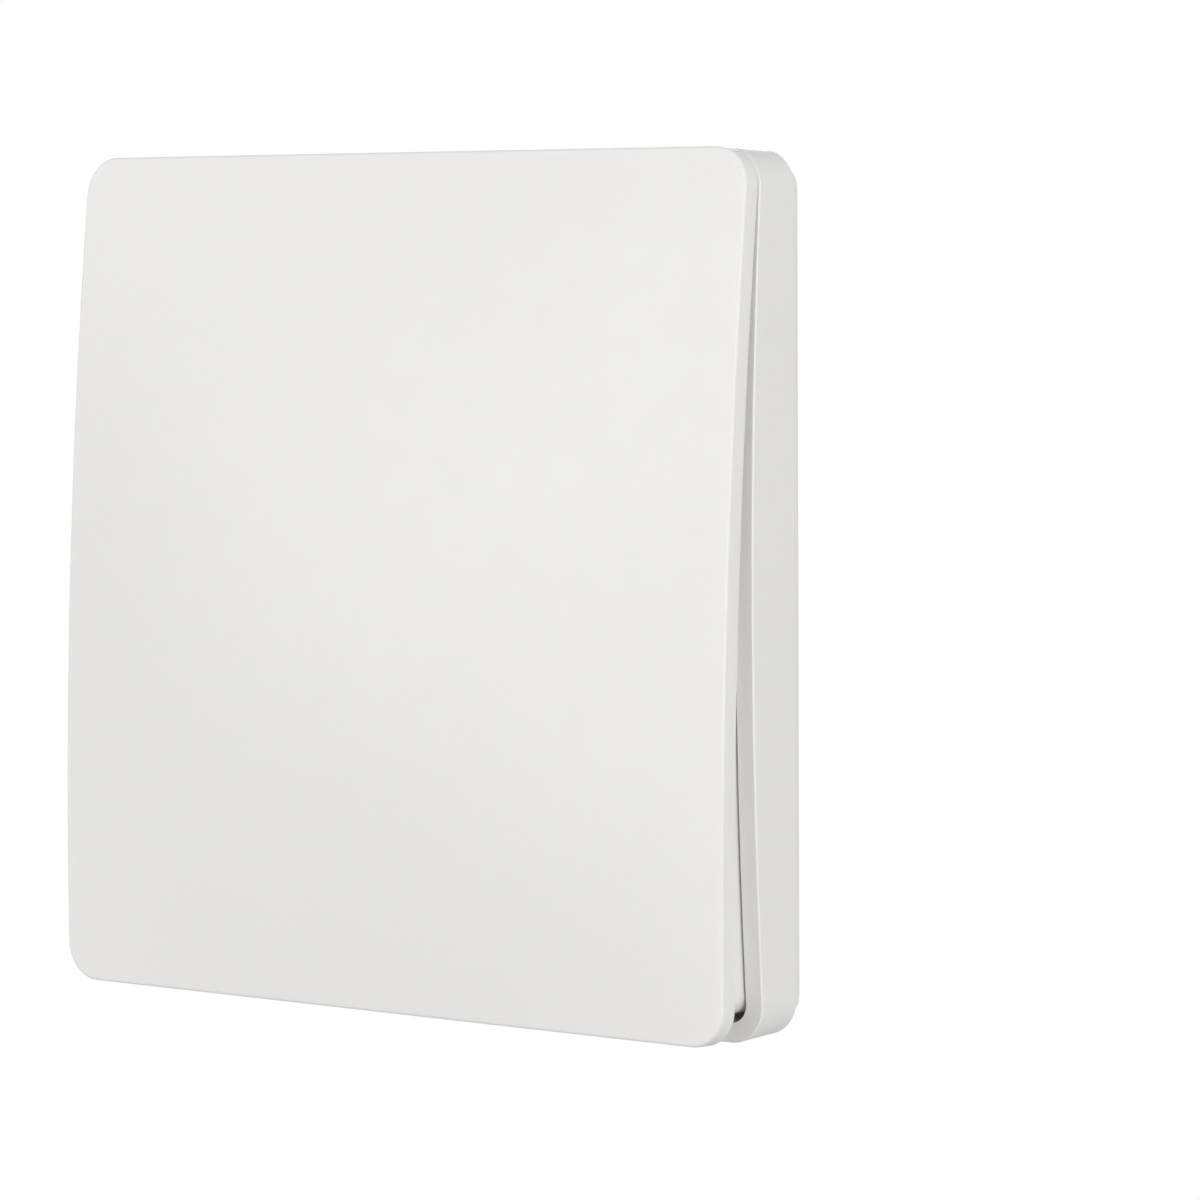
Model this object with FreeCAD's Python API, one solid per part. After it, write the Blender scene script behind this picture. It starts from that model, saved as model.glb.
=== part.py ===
import FreeCAD, Part
import math
import os

V = FreeCAD.Vector

# A square, battery-powered wireless wall switch with one large rocker.
#
# Frame, in millimetres: +Z up, +X to the right of someone who faces the switch, and the wall is the
# plane Y = 0. The origin is the centre of the wall plate's back face. Everything lies in front of the
# wall, so a place is given here as (x, depth, z), where depth is the distance from the wall, -Y.

# Outer form, measured from the photograph with the standard 86 mm wall box as its scale
body_size = 86.0  # side of the square housing at its rim
corner_radius = 4.0  # of the housing at its rim
side_draft = 2.1  # degrees by which the housing's sides close in towards the wall
plate_inset = 1.2  # the wall plate's front stands back from the body's sides by this
plate_draft = 10.0  # degrees, the same for the wall plate
plate_thickness = 2.07
side_height = 5.89  # of the housing's walls at their upper and lower ends
rim_bow = 1.74  # the front rim bulges forward by this at mid height
rim_width = 1.95
edge_bevel = 0.15  # on the outer edges of the rim and of the wall plate's back
back_bevel = (0.33, 0.9)  # on the housing's back edge, along its sides and across its back

# Rocker: a plate whose side edges are tilted and bowed, with a pillow-like crown between them
rocker_corner = 3.85
rocker_inset = 0.1  # the plate's edges stand back from the housing's by this
rocker_lift = 0.15  # of the plate's middle over the housing's
top_gap = 0.08  # between the rocker's plate and the rim at the upper end
lower_lift = 4.49  # the plate's lower edge stands this much further forward than its upper one
side_bow = 1.44  # forward bulge of the side edges
crown = 2.66  # further bulge of the face between the side edges
plate_edge = 1.94  # thickness of the plate at its edge
face_rounding = 0.3  # radius round the front of the plate
panel_wall = 1.9  # thickness of the plate over the hollow
skirt_gap = 0.35  # from the skirt to the rim's inner wall at the top and sides
lower_skirt_gap = 0.85  # the same at the bottom
skirt_wall = 1.5
skirt_corner = 2.0
skirt_clearance = 2.1  # from the skirt's back edge to the housing's floor
rib_thickness = 1.0
rib_pitch = 13.0
rib_clearance = 0.5  # from the ribs to the electronics bay, with the rocker pressed
switch_room = 5.2  # radius kept free of ribs round each switch
inside_join = 0.9  # what hangs from the plate starts this deep in it

# Hinge: pins moulded on the housing, and snap clips on the rocker
pivot_inset = 7.0  # from the top of the body down to the hinge axis
pivot_height = 3.0  # of the hinge axis over the housing's floor
pin_radius = 1.25
pin_clearance = 0.05  # radial
clip_wall = 1.0
clip_width = 4.6
clip_side_gap = 0.4
mouth_squeeze = 0.25  # each lip reaches this much over the pin's flank
ear_thickness = 1.5
ear_cap = 0.75  # the ears rise this much over the pins
hinge_spacing = 48.0  # between the two clips, and between the two stop hooks below them

# Two hooks hang from the rocker's lower end and stop it in windows of the bay's wall
hook_width = 7.0
hook_thickness = 1.2
hook_gap = 0.35  # between a hook and the bay's wall
hook_reach = 0.8  # of the barb into its window
barb_height = 1.3
stop_gap = 0.1  # between the barb and the window's edge, at rest
window_margin = 0.4  # round the hook in its window

# Housing
floor_thickness = 1.23
bay_wall = 1.2
bay_corner = 3.0
bay_side_gap = 1.2  # from the bay to the skirt, at the sides
lower_trough = 3.3  # from the bay to the skirt, at the bottom
hinge_bay = 8.0  # from the hinge axis down to the bay
upper_deck_gap = 0.7  # from the bay to the rocker's plate at the bay's upper corners
lower_deck_gap = 0.5  # the same at its lower corners, with the rocker pressed
pry_width = 9.0
pry_height = 1.0

# Wall plate and its snap hooks
mount_inset = 13.0  # from the body's sides to the wall screws: an 86 mm wall box has them 60 mm apart
mount_screw_radius = 2.1  # half the width of the slots
mount_slot_length = 6.4  # end to end
mount_head_radius = 4.0
mount_head_height = 2.6
mount_web = 1.3  # plate left under the screw heads
head_clearance = 0.3
snap_spacing = 18.0
snap_width = 6.0
snap_arm = 1.0
snap_reach = 0.6
snap_barb = 1.0
snap_inset = 2.2  # from the skirt's inner face to the arms
snap_slack = 0.1
snap_flex = 0.7  # room behind an arm for it to bend

# Rear cover of the bay
cover_gap = 0.23  # from the wall plate
cover_thickness = 1.2
cover_clearance = 0.2  # to the bay's walls
cover_lip = 1.0
pocket_wall = 0.8
pad_radius = 3.0
pad_floor = 1.0
cover_screw_radius = 1.0
cover_screw_head = 1.85
cover_head_height = 1.1
cover_screw_length = 4.6
boss_radius = 2.6
boss_inset = 3.4  # from the bay's inner walls to a boss's axis
bore_clearance = 0.02
head_play = 0.2

# Circuit board and what is on its back
board_thickness = 1.0
board_margin = 1.0  # to the bay's walls
board_corner = 1.0
cell_radius = 10.0
cell_thickness = 3.2
cell_step = 0.4
cell_cap_radius = 8.9
cell_bevel = 0.3
contact_space = 0.4  # between the cell and the board
holder_gap = 0.35
holder_wall = 1.85
tab_thickness = 0.6
tab_gap = 0.1
tab_reach = 1.35
tab_width = 3.0
clip_notch = 7.0
finger_notch = 8.0
window_gap = 0.4
strip_thickness = 0.2
spring_thickness = 0.15
contact_gap = 0.1
positive_width = 6.0
negative_width = 4.0
board_screw_radius = 0.85
board_head_radius = 1.6
board_head_height = 1.1
board_screw_length = 3.0
post_radius = 2.4
fixing_side_inset = 10.8  # from the board's sides to its screws and locating pins
screw_inset = 6.2  # from the board's lower edge to its screws
locator_inset = 5.8  # from the board's upper edge to its locating pins
locator_radius = 1.2
locator_play = 0.1
locator_proud = 0.4

# Tactile switches under the rocker
plunger_travel = 0.6
switch_arm = 36.0  # from the hinge axis down to the switches
switch_spacing = 40.0
switch_size = 6.0
switch_height = 3.4
switch_floor = 0.8
switch_bore = 2.5
switch_opening = 0.3  # from the cover to the opening in the bay's deck
cover_sheet = 0.25
flap_sheet = 0.2
flap_width = 3.2
flap_length = 2.2
plunger_radius = 1.7
plunger_proud = 1.0
plunger_play = 0.08
plunger_bevel = 0.2
flange_radius = 2.2
flange_height = 0.5
flange_gap = 0.03
dome_radius = 2.1
dome_top_radius = 1.3
dome_wall = 0.35
pusher_radius = 2.0
pusher_gap = 0.08
leg_width = 0.7
leg_pitch = 4.5
leg_sheet = 0.2
leg_rise = 0.8
leg_foot = 1.0

# Radio and small components on the board's front
radio_width = 16.0
radio_height = 12.0
radio_thickness = 0.6
pad_pitch = 1.6
pad_notch = 0.6
radio_inset = 0.8  # from the board's lower edge
shield_inset = 1.6
shield_height = 1.0
shield_sheet = 0.15
led_rise = 12.0
led_width = 2.0
led_height = 0.6
led_window = 1.3
crystal_width = 3.2
crystal_height = 0.8
chip_width = 1.6
chip_depth = 0.8
capacitor_height = 0.5
resistor_height = 0.35

# Depths and places that follow from the sizes above
deep = 60.0  # longer than anything here, for solids that are cut to shape
overrun = 1.0  # by which cuts reach past what they cut
half = body_size / 2
floor_rear = plate_thickness
floor_front = floor_rear + floor_thickness
rim_depth = floor_rear + side_height
edge_top = rim_depth + top_gap + plate_edge
rim_inner = half - rim_width
skirt_side = rim_inner - skirt_gap
skirt_bottom = rim_inner - lower_skirt_gap
skirt_rear = floor_front + skirt_clearance
pivot_z = half - pivot_inset
pivot_depth = floor_front + pivot_height
press_angle = math.atan(plunger_travel / switch_arm)
bay_side = skirt_side - skirt_wall - bay_side_gap
bay_bottom = skirt_wall + lower_trough - skirt_bottom
bay_top = pivot_z - hinge_bay
bay_room_side = bay_side - bay_wall
board_side = bay_room_side - board_margin
board_low = bay_bottom + bay_wall + board_margin
board_high = bay_top - bay_wall - board_margin
cover_rear = floor_rear + cover_gap
cover_front = cover_rear + cover_thickness
cell_rear = cover_rear + tab_thickness + tab_gap
cell_front = cell_rear + cell_thickness
board_rear = cell_front + contact_space
board_front = board_rear + board_thickness
switch_z = pivot_z - switch_arm
switch_front = board_front + switch_height
plunger_front = switch_front + plunger_proud
cell_z = (bay_bottom + bay_top) / 2
radio_z = board_low + radio_inset + radio_height / 2
mount_x = half - mount_inset
pocket_front = mount_web + mount_head_height + head_clearance + pocket_wall
pad_front = cover_rear + cover_head_height + head_play + pad_floor
sides = (-1, 1)


def at(x, depth, z):
    """A point at a distance from the wall."""
    return V(x, -depth, z)


def slab(x_range, depth_range, z_range):
    """A box between two values on each axis."""
    (x0, x1), (d0, d1), (z0, z1) = x_range, depth_range, z_range
    return Part.makeBox(x1 - x0, d1 - d0, z1 - z0, at(x0, d1, z0))


def around(middle, width):
    """The two ends of a span centred on a value."""
    return (middle - width / 2, middle + width / 2)


def rod(x, z, radius, depth_range):
    """A cylinder that stands off the wall."""
    d0, d1 = depth_range
    return Part.makeCylinder(radius, d1 - d0, at(x, d1, z), V(0, 1, 0))


def bar(x_range, depth, z, radius):
    """A cylinder along X."""
    x0, x1 = x_range
    return Part.makeCylinder(radius, x1 - x0, at(x0, depth, z), V(1, 0, 0))


def turned(points, x, z):
    """A solid of revolution about a line off the wall, from (radius, depth) points."""
    corners = [at(x + radius, depth, z) for radius, depth in points]
    face = Part.Face(Part.makePolygon(corners + corners[:1]))
    return face.revolve(at(x, 0, z), V(0, 1, 0), 360)


def fused(shapes):
    """All the shapes as one, with no seams left between them."""
    first, *rest = shapes
    return (first.multiFuse(rest) if rest else first).removeSplitter()


def rounded_outline(x_range, z_range, radius, depth):
    """The wire of a rectangle with round corners."""
    (x0, x1), (z0, z1) = x_range, z_range
    centres = [(x1 - radius, z1 - radius), (x0 + radius, z1 - radius)]
    centres += [(x0 + radius, z0 + radius), (x1 - radius, z0 + radius)]
    arcs = []
    for quarter, (x, z) in enumerate(centres):
        turns = [(quarter + part) * math.pi / 2 for part in (0, 0.5, 1)]
        spots = [at(x + radius * math.cos(t), depth, z + radius * math.sin(t)) for t in turns]
        arcs.append(Part.Arc(*spots).toShape())
    edges = []
    for arc, after in zip(arcs, arcs[1:] + arcs[:1]):
        edges += [arc, Part.makeLine(arc.lastVertex(True).Point, after.firstVertex(True).Point)]
    return Part.Wire(edges)


def rounded_prism(x_range, z_range, radius, depth_range):
    """A rectangle with round corners, carried through a range of depths."""
    d0, d1 = depth_range
    return Part.Face(rounded_outline(x_range, z_range, radius, d1)).extrude(V(0, d1 - d0, 0))


def tapered_prism(edge, radius, level, depth_range, draft):
    """A square with round corners whose sides close in towards the wall by an angle in degrees.

    Its half width and its corners' radius are those that it has at one level.
    """
    outlines = []
    for depth in depth_range:
        inset = (level - depth) * math.tan(math.radians(draft))
        span = (inset - edge, edge - inset)
        outlines.append(rounded_outline(span, span, radius - inset, depth))
    return Part.makeLoft(outlines, True, True)


def centred_prism(x_half, z_range, radius, depth_range):
    """A rounded prism that is the same on the left and on the right."""
    return rounded_prism((-x_half, x_half), z_range, radius, depth_range)


def oblong(x, z, length, radius, depth_range):
    """A slot's form: as long as length from end to end, along X."""
    ends = around(x, length - 2 * radius)
    middle = slab(ends, depth_range, around(z, 2 * radius))
    return fused([middle] + [rod(end, z, radius, depth_range) for end in ends])


def profile(points, x_range):
    """A closed outline of (depth, z) points, carried along X."""
    x0, x1 = x_range
    corners = [at(x0, depth, z) for depth, z in points]
    return Part.Face(Part.makePolygon(corners + corners[:1])).extrude(V(x1 - x0, 0, 0))


def strip(points, thickness, z_range):
    """Sheet metal bent along a line of (x, depth) points, with mitred bends."""
    normals = []
    for (x0, d0), (x1, d1) in zip(points, points[1:]):
        run = math.hypot(x1 - x0, d1 - d0)
        normals.append(((d0 - d1) / run, (x1 - x0) / run))
    left, right = [], []
    for (x, depth), before, after in zip(points, normals[:1] + normals, normals + normals[-1:]):
        reach = thickness / 2 / (1 + before[0] * after[0] + before[1] * after[1])
        dx = (before[0] + after[0]) * reach
        dd = (before[1] + after[1]) * reach
        left.append(at(x + dx, depth + dd, z_range[0]))
        right.insert(0, at(x - dx, depth - dd, z_range[0]))
    corners = left + right
    return Part.Face(Part.makePolygon(corners + corners[:1])).extrude(V(0, 0, z_range[1] - z_range[0]))


def swell(t):
    """1 at the middle of the body and 0 at its edges, as a parabola."""
    return 1 - (t / half) ** 2


def face_depth(x, z):
    """Distance of the rocker's face from the wall."""
    edge = edge_top + lower_lift * (half - z) / body_size + side_bow * swell(z)
    return edge + crown * swell(x) * swell(z)


def behind(shift, crown_height):
    """All that lies behind the rocker's face, moved back by shift and with another crown.

    The face is a product of parabolas, so a patch of nine poles holds it exactly. The patch
    reaches past the body: at its middle poles a parabola's control value is 1 + k, and at the
    outer ones it is 1 - k.
    """
    reach = half + corner_radius
    k = (reach / half) ** 2
    controls = list(zip((-reach, 0, reach), (1 - k, 1 + k, 1 - k)))
    poles = []
    for x, across in controls:
        row = []
        for z, up in controls:
            depth = edge_top - shift + lower_lift * (half - z) / body_size + side_bow * up
            row.append(at(x, depth + crown_height * across * up, z))
        poles.append(row)
    patch = Part.BSplineSurface()
    patch.buildFromPolesMultsKnots(poles, [3, 3], [3, 3], [0, 1], [0, 1], False, False, 2, 2)
    return patch.toShape().extrude(V(0, deep, 0))


def press_drop(z):
    """How far the pressed rocker moves towards the wall at a height."""
    return (pivot_z - z) * math.tan(press_angle)


def deck_depth(z):
    """Distance from the wall of the bay's sloping deck, which follows the rocker."""
    upper = face_depth(bay_side, bay_top) - panel_wall - upper_deck_gap
    lower = face_depth(bay_side, bay_bottom) - panel_wall - lower_deck_gap - press_drop(bay_bottom)
    return upper + (lower - upper) * (bay_top - z) / (bay_top - bay_bottom)


def before_deck(shift):
    """All that lies on the wall's side of the bay's deck, moved towards the wall by shift."""
    ends = (-half, half)
    points = [(deck_depth(z) - shift, z) for z in ends]
    return profile(points + [(-deep, half), (-deep, -half)], (-half, half))


def front_outline(solid):
    """The edges round the face that lies furthest forward."""
    return min(solid.Faces, key=lambda face: face.CenterOfMass.y).OuterWire.Edges


def back_outline(solid):
    """The edges round the face that lies nearest to the wall."""
    return max(solid.Faces, key=lambda face: face.CenterOfMass.y).OuterWire.Edges


def tilted_outline():
    """The plate's outline, carried forward square to the tilted plate.

    Its upper edge is measured at the plate's front, and its lower edge at the plate's back.
    """
    slope = lower_lift / body_size
    edge = half - rocker_inset
    low = rocker_lift - edge - (edge_top + lower_lift - plate_edge) * slope
    high = rocker_lift + edge - edge_top * slope
    outline = rounded_outline((-edge, edge), (low, high), rocker_corner, 0)
    return Part.Face(outline).extrude(V(0, -deep, deep * slope))


def rocker():
    """The front plate with its skirt, ribs, pushers, hinge clips and stop hooks, one moulding."""
    plate = tilted_outline().common(behind(0, crown)).cut(behind(plate_edge, 0))
    plate = plate.makeFillet(face_rounding, front_outline(plate))
    skirt = centred_prism(skirt_side, (-skirt_bottom, skirt_side), skirt_corner, (skirt_rear, deep))
    hollow = centred_prism(
        skirt_side - skirt_wall,
        (skirt_wall - skirt_bottom, skirt_side - skirt_wall),
        skirt_corner - skirt_wall,
        (0, deep),
    ).common(behind(panel_wall, crown))
    shell = plate.fuse(skirt.common(behind(inside_join, crown))).cut(hollow)
    inside = fused(rocker_ribs(hollow) + pushers() + hinge_clips() + stop_hooks())
    return fused([shell, inside.common(behind(inside_join, crown))])


def rocker_ribs(hollow):
    """Crossed ribs on the back of the plate, cut off where the bay's deck comes near."""
    count = int((half - skirt_wall) / rib_pitch)
    places = [rib_pitch * step for step in range(-count, count + 1)]
    span = (-half, half)
    ribs = [slab(around(x, rib_thickness), (0, deep), span) for x in places]
    ribs += [slab(span, (0, deep), around(z, rib_thickness)) for z in places if z < bay_top]
    limits = [(deck_depth(z) + press_drop(z) + rib_clearance, z) for z in (-half, bay_top)]
    zone = profile(limits + [(deep, bay_top), (deep, -half)], span)
    grown = hollow.common(zone)
    frame = fused(ribs).common(grown)
    base = centred_prism(
        skirt_side - skirt_wall / 2,
        (skirt_wall / 2 - skirt_bottom, skirt_side - skirt_wall / 2),
        skirt_corner - skirt_wall / 2,
        (0, deep),
    )
    roots = fused(ribs).common(base).common(zone).common(behind(inside_join, crown))
    roots = roots.cut(behind(panel_wall + rib_thickness / 2, crown))
    front = plunger_front + pusher_gap + rib_thickness
    places = [side * switch_spacing / 2 for side in sides]
    rooms = fused([rod(x, switch_z, switch_room, (0, front)) for x in places])
    return [frame.cut(rooms), roots]


def pushers():
    """Two posts that press the switches' plungers."""
    front = plunger_front + pusher_gap
    return [rod(side * switch_spacing / 2, switch_z, pusher_radius, (front, deep)) for side in sides]


def hinge_clips():
    """Two C-shaped clips, open towards the wall, that snap over the hinge pins."""
    bore = pin_radius + pin_clearance
    outer = bore + clip_wall
    lip = pin_radius - mouth_squeeze
    clips = []
    for side in sides:
        span = around(side * hinge_spacing / 2, clip_width)
        web = slab(span, (pivot_depth, deep), around(pivot_z, 2 * outer))
        ring = bar(span, pivot_depth, pivot_z, outer)
        mouth = [(pivot_depth, pivot_z - lip), (pivot_depth - bore, pivot_z - lip)]
        mouth += [(pivot_depth - outer, pivot_z - bore), (pivot_depth - outer, pivot_z + bore)]
        mouth += [(pivot_depth - bore, pivot_z + lip), (pivot_depth, pivot_z + lip)]
        hollow = bar(span, pivot_depth, pivot_z, bore).fuse(profile(mouth, span))
        clips.append(web.fuse(ring).cut(hollow))
    return clips


def hook_levels():
    """Depths of the back and the front of the stop hooks' barbs, at rest."""
    front = board_front - board_thickness / 2
    return (front - barb_height, front)


def stop_hooks():
    """Two arms at the lower end whose barbs catch in the bay's wall and keep the rocker on."""
    back, front = hook_levels()
    inner = bay_bottom - hook_gap
    outer = inner - hook_thickness
    tip = bay_bottom + hook_reach
    outline = [(back - hook_thickness / 2, outer), (back - hook_thickness / 2, inner), (back, tip)]
    outline += [(front, tip), (front, inner), (deep, inner), (deep, outer)]
    places = [side * hinge_spacing / 2 for side in sides]
    return [profile(outline, around(x, hook_width)) for x in places]


def housing():
    """The square shell: bowed rim, floor, electronics bay, hinge pins and fixing bosses."""
    depths = (floor_rear, rim_depth + rim_bow + overrun)
    walls = tapered_prism(half, corner_radius, rim_depth, depths, side_draft).common(bowed_front())
    walls = walls.makeChamfer(edge_bevel, front_outline(walls))
    walls = walls.makeChamfer(*back_bevel, back_outline(walls))
    tray = centred_prism(rim_inner, (-rim_inner, rim_inner), corner_radius - rim_width, (floor_front, deep))
    bay = centred_prism(bay_side, (bay_bottom, bay_top), bay_corner, (floor_rear, deep))
    bay = bay.common(before_deck(0))
    shell = fused([walls.cut(tray), bay]).cut(bay_room(bay_wall))
    solid = fused([shell] + board_fixings() + hinge_pins())
    return solid.cut(fused(housing_openings()))


def bowed_front():
    """All that lies behind the rim, whose front is one arc from the lower end to the upper."""
    side = half + overrun
    ends = (at(-side, rim_depth, -half), at(-side, rim_depth, half))
    arc = Part.Arc(ends[0], at(-side, rim_depth + rim_bow, 0), ends[1])
    back = Part.makePolygon([ends[1], at(-side, -deep, half), at(-side, -deep, -half), ends[0]])
    face = Part.Face(Part.Wire([arc.toShape()] + back.Edges))
    return face.extrude(V(2 * side, 0, 0))


def bay_room(wall):
    """The space inside the electronics bay, open at the back."""
    room = centred_prism(
        bay_side - wall,
        (bay_bottom + wall, bay_top - wall),
        bay_corner - wall,
        (-overrun, deep),
    )
    return room.common(before_deck(wall))


def boss_places():
    """Axes of the four bosses that take the rear cover's screws."""
    x = bay_room_side - boss_inset
    heights = (bay_bottom + bay_wall + boss_inset, bay_top - bay_wall - boss_inset)
    return [(side * x, z) for side in sides for z in heights]


def board_screw_places():
    return [(side * (board_side - fixing_side_inset), board_low + screw_inset) for side in sides]


def locator_places():
    return [(side * (board_side - fixing_side_inset), board_high - locator_inset) for side in sides]


def board_fixings():
    """Bosses with webs for the rear cover, posts for the board's screws, and its locating pins."""
    shapes = []
    bore = cover_screw_radius + bore_clearance
    for x, z in boss_places():
        side = 1 if x > 0 else -1
        wall_x = side * (bay_side - bay_wall / 2)
        web = slab(sorted((x, wall_x)), (board_front + board_margin / 2, deep), around(z, rib_thickness))
        boss = rod(x, z, boss_radius, (pad_front, deep)).fuse(web).common(before_deck(bay_wall / 2))
        depth = cover_screw_end() + board_margin / 2
        shapes.append(boss.cut(rod(x, z, bore, (0, depth))))
    bore = board_screw_radius + bore_clearance
    for x, z in board_screw_places():
        post = rod(x, z, post_radius, (board_front, deep)).common(before_deck(bay_wall / 2))
        shapes.append(post.cut(rod(x, z, bore, (0, deck_depth(z) - bay_wall / 2))))
    for x, z in locator_places():
        pin = rod(x, z, locator_radius, (board_rear - locator_proud, deep))
        shapes.append(pin.common(before_deck(bay_wall / 2)))
    return shapes


def hinge_pins():
    """Two moulded pins between pairs of ears that stand on the floor."""
    shapes = []
    head = pin_radius + ear_cap
    for side in sides:
        middle = side * hinge_spacing / 2
        inner = clip_width / 2 + clip_side_gap
        for way in sides:
            start = middle + way * inner
            span = sorted((start, start + way * ear_thickness))
            ear = slab(span, (floor_front - floor_thickness / 2, pivot_depth), around(pivot_z, 2 * head))
            shapes.append(ear.fuse(bar(span, pivot_depth, pivot_z, head)))
        reach = 2 * inner + ear_thickness
        shapes.append(bar(around(middle, reach), pivot_depth, pivot_z, pin_radius))
    return shapes


def snap_levels():
    """Distances from the middle to the inner face, the outer face and the tip of the snap hooks."""
    inner = skirt_bottom - skirt_wall - snap_inset
    return inner, inner + snap_arm, inner + snap_arm + snap_reach


def housing_openings():
    """Openings of the switches, the light, the stop hooks, the wall plate's snaps and the pry notch."""
    shapes = []
    opening = switch_size + 2 * (flap_sheet + switch_opening)
    through = (board_front + board_margin / 2, deep)
    for side in sides:
        x = side * switch_spacing / 2
        shapes.append(slab(around(x, opening), through, around(switch_z, opening)))
    shapes.append(rod(0, switch_z + led_rise, led_window, through))
    back, front = hook_levels()
    drop = press_drop(bay_bottom)
    depths = (back - hook_thickness / 2 - drop - window_margin, front + stop_gap)
    for side in sides:
        x_range = around(side * hinge_spacing / 2, hook_width + 2 * window_margin)
        shapes.append(slab(x_range, depths, (bay_bottom - bay_wall, bay_bottom + 2 * bay_wall)))
        inner, outer, _ = snap_levels()
        x_range = around(side * snap_spacing / 2, snap_width + 2 * head_clearance)
        for way in sides:
            z_range = sorted((way * (inner - snap_flex), way * (outer + snap_slack)))
            shapes.append(slab(x_range, (0, floor_front + snap_slack), z_range))
    notch = (floor_rear - pry_height, floor_rear + pry_height)
    shapes.append(slab(around(0, pry_width), notch, (-half - overrun, -rim_inner)))
    return shapes


def wall_plate():
    """The stepped plate on the wall, with two screw slots and four snap hooks."""
    edge = half - plate_inset
    radius = corner_radius - plate_inset
    plate = tapered_prism(edge, radius, plate_thickness, (0, plate_thickness), plate_draft)
    plate = plate.makeChamfer(edge_bevel, back_outline(plate))
    for side in sides:
        x = side * mount_x
        seat_radius = mount_head_radius + head_clearance
        seat_length = mount_slot_length + 2 * (seat_radius - mount_screw_radius)
        plate = plate.cut(oblong(x, 0, mount_slot_length, mount_screw_radius, (-overrun, deep)))
        plate = plate.cut(oblong(x, 0, seat_length, seat_radius, (mount_web, deep)))
    inner, outer, tip = snap_levels()
    catch = floor_front + snap_slack / 2
    end = catch + snap_barb
    root = plate_thickness / 2
    hooks = []
    for side in sides:
        span = around(side * snap_spacing / 2, snap_width)
        for way in sides:
            outline = [(root, inner), (end, inner), (end, outer), (catch + snap_barb / 3, tip)]
            outline += [(catch, tip), (catch, outer), (root, outer)]
            hooks.append(profile([(depth, way * z) for depth, z in outline], span))
    return fused([plate] + hooks)


def rear_cover():
    """The lid of the electronics bay, with hollows for the wall screws' heads and the cell's window."""
    side = bay_room_side - cover_clearance
    z_range = (bay_bottom + bay_wall + cover_clearance, bay_top - bay_wall - cover_clearance)
    corner = bay_corner - bay_wall - cover_clearance
    outline = centred_prism(side, z_range, corner, (cover_rear, deep))
    sheet = centred_prism(side, z_range, corner, (cover_rear, cover_front))
    lip = centred_prism(side, z_range, corner, (cover_rear, cover_front + cover_lip))
    inner_range = (z_range[0] + pocket_wall, z_range[1] - pocket_wall)
    lip = lip.cut(centred_prism(side - pocket_wall, inner_range, corner - pocket_wall, (0, deep)))
    added = [sheet, lip]
    cuts = [rod(0, cell_z, cell_radius + holder_gap + holder_wall + window_gap, (0, deep))]
    head = mount_head_radius + head_clearance
    for way in sides:
        x = way * mount_x
        length = mount_slot_length + 2 * (head - mount_screw_radius)
        pocket = oblong(x, 0, length + 2 * pocket_wall, head + pocket_wall, (cover_rear, pocket_front))
        added.append(pocket)
        cuts.append(oblong(x, 0, length, head, (0, pocket_front - pocket_wall)))
    for x, z in boss_places():
        added.append(rod(x, z, pad_radius, (cover_rear, pad_front)).common(outline))
        cuts.append(rod(x, z, cover_screw_head + head_play, (0, pad_front - pad_floor)))
        cuts.append(rod(x, z, cover_screw_radius + head_play, (0, deep)))
    return fused(added).cut(fused(cuts))


def cover_screw_end():
    """Depth of the tips of the rear cover's screws."""
    return pad_front - pad_floor + cover_screw_length


def screw(x, z, seat, head_radius, head_height, radius, tip):
    """A screw put in from the wall's side, with a cross recess in its flat head."""
    points = [(0, seat - head_height), (head_radius, seat - head_height), (head_radius, seat)]
    points += [(radius, seat), (radius, tip), (0, tip)]
    recess = (0, seat - head_height / 2)
    arms = [slab(around(x, head_radius), recess, around(z, head_radius / 4))]
    arms.append(slab(around(x, head_radius / 4), recess, around(z, head_radius)))
    return turned(points, x, z).cut(fused(arms))


def rear_cover_screws():
    seat = pad_front - pad_floor
    sizes = (seat, cover_screw_head, cover_head_height, cover_screw_radius, cover_screw_end())
    return Part.makeCompound([screw(x, z, *sizes) for x, z in boss_places()])


def board_screws():
    tip = board_rear + board_screw_length
    sizes = (board_rear, board_head_radius, board_head_height, board_screw_radius, tip)
    return Part.makeCompound([screw(x, z, *sizes) for x, z in board_screw_places()])


def circuit_board():
    """The main board, cut out round the bosses."""
    board = centred_prism(board_side, (board_low, board_high), board_corner, (board_rear, board_front))
    cuts = [rod(x, z, boss_radius + board_margin / 2, (0, deep)) for x, z in boss_places()]
    cuts += [rod(x, z, board_screw_radius + locator_play, (0, deep)) for x, z in board_screw_places()]
    cuts += [rod(x, z, locator_radius + locator_play, (0, deep)) for x, z in locator_places()]
    return board.cut(fused(cuts))


def coin_cell():
    """A stepped coin cell: the wide can faces the wall, and the narrower cap faces the board."""
    step = cell_front - cell_step
    points = [(0, cell_rear), (cell_radius - cell_bevel, cell_rear), (cell_radius, cell_rear + cell_bevel)]
    points += [(cell_radius, step), (cell_cap_radius, step), (cell_cap_radius, cell_front), (0, cell_front)]
    return turned(points, 0, cell_z)


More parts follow.
